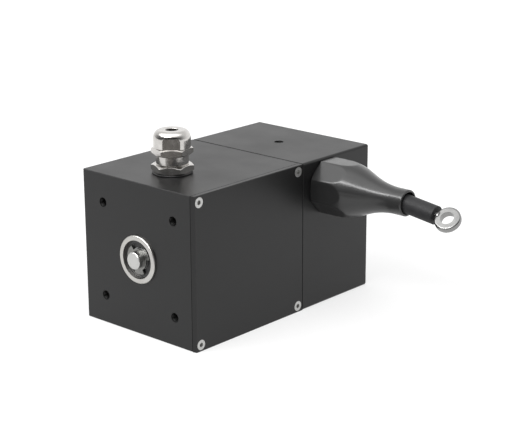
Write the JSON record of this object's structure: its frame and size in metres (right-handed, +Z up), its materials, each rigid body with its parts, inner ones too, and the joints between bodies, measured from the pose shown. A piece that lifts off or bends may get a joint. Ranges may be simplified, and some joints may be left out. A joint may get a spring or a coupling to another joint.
{
  "type": "draw-wire linear encoder",
  "caption": "Draw-wire linear encoder: black square housing of two blocks with a cable gland on top, bearing end in front and a rubber boot with a pull-out wire eye on the side.",
  "frame": {"origin": "centre of the four mounting holes in the front face, on the shaft axis", "axes": "+X the way the wire is pulled, +Y from the front face to the back, +Z up"},
  "size_m": [0.1637, 0.1389, 0.1024],
  "materials": {
    "anodised_black": "black anodised, fine satin",
    "bare_aluminium": "turned, bare",
    "steel": "bright",
    "bearing_steel": "ground",
    "zinc_screws": "bright zinc plated",
    "black_screws": "black oxide",
    "spring_steel": "blued",
    "nickel_brass": "nickel plated",
    "black_rubber": "matte",
    "boot_rubber": "moulded, satin",
    "sleeve_rubber": "extruded, satin",
    "felt": "felt",
    "slide_plastic": "moulded, slippery",
    "black_plastic": "moulded",
    "board_green": "coated board",
    "terminal_green": "moulded",
    "brass": "turned"
  },
  "bodies": {
    "housing": {"front_block": "anodised_black", "rear_block": "anodised_black", "side_cover": "anodised_black", "block_gasket": "black_rubber", "cover_gasket": "black_rubber", "cover_screws": "zinc_screws", "block_bolts": "black_screws", "bearing_collar": "bare_aluminium", "front_bearing_outer_race": "bearing_steel", "front_bearing_balls": "bearing_steel", "front_bearing_seal": "black_rubber", "rear_bearing_outer_race": "bearing_steel", "rear_bearing_balls": "bearing_steel", "rear_bearing_seal": "black_rubber", "shaft_seal": "black_rubber", "spring_cassette": "bare_aluminium", "cassette_lid": "bare_aluminium", "cassette_dowel": "steel", "spiral_spring": "spring_steel", "wire_outlet": "bare_aluminium", "guide_bush": "slide_plastic", "wiper_ring": "felt", "boot": "boot_rubber", "gland_ring": "black_rubber", "gland_body": "nickel_brass", "gland_nut": "nickel_brass", "gland_insert": "black_rubber", "top_plug": "black_screws", "board_standoffs": "brass", "encoder_board": "board_green", "optical_reader": "black_plastic", "main_board": "board_green", "board_spacers": "brass", "terminal_block": "terminal_green", "board_chips": "black_plastic"},
    "drum": {"main_shaft": "steel", "retaining_clip": "steel", "front_bearing_inner_race": "bearing_steel", "rear_bearing_inner_race": "bearing_steel", "spring_arbor": "steel", "arbor_pin": "steel", "wire_drum": "bare_aluminium", "drum_pin": "steel", "wound_wire": "steel", "code_disc": "steel", "disc_hub": "bare_aluminium", "hub_screw": "black_screws"},
    "wire_end": {"measuring_wire": "steel", "ferrule": "steel", "sleeve": "sleeve_rubber", "eye": "steel"}
  },
  "joints": [
    {"name": "drum_spin", "type": "hinge", "parent": "housing", "child": "drum", "pos_m": [0, 0.107, 0], "axis": [0, 1, 0], "range_deg": [0, 4583.6], "stiffness_Nm_per_rad": 0.00094, "springref_deg": -7620.34, "deforming": ["spiral_spring"]},
    {"name": "wire_pull", "type": "slide", "parent": "housing", "child": "wire_end", "axis": [1, 0, 0], "range_m": [0, 2], "deforming": ["measuring_wire"]}
  ],
  "couplings": [
    {"joint": "wire_pull", "follows": "drum_spin", "m_per_rad": 0.025}
  ]
}
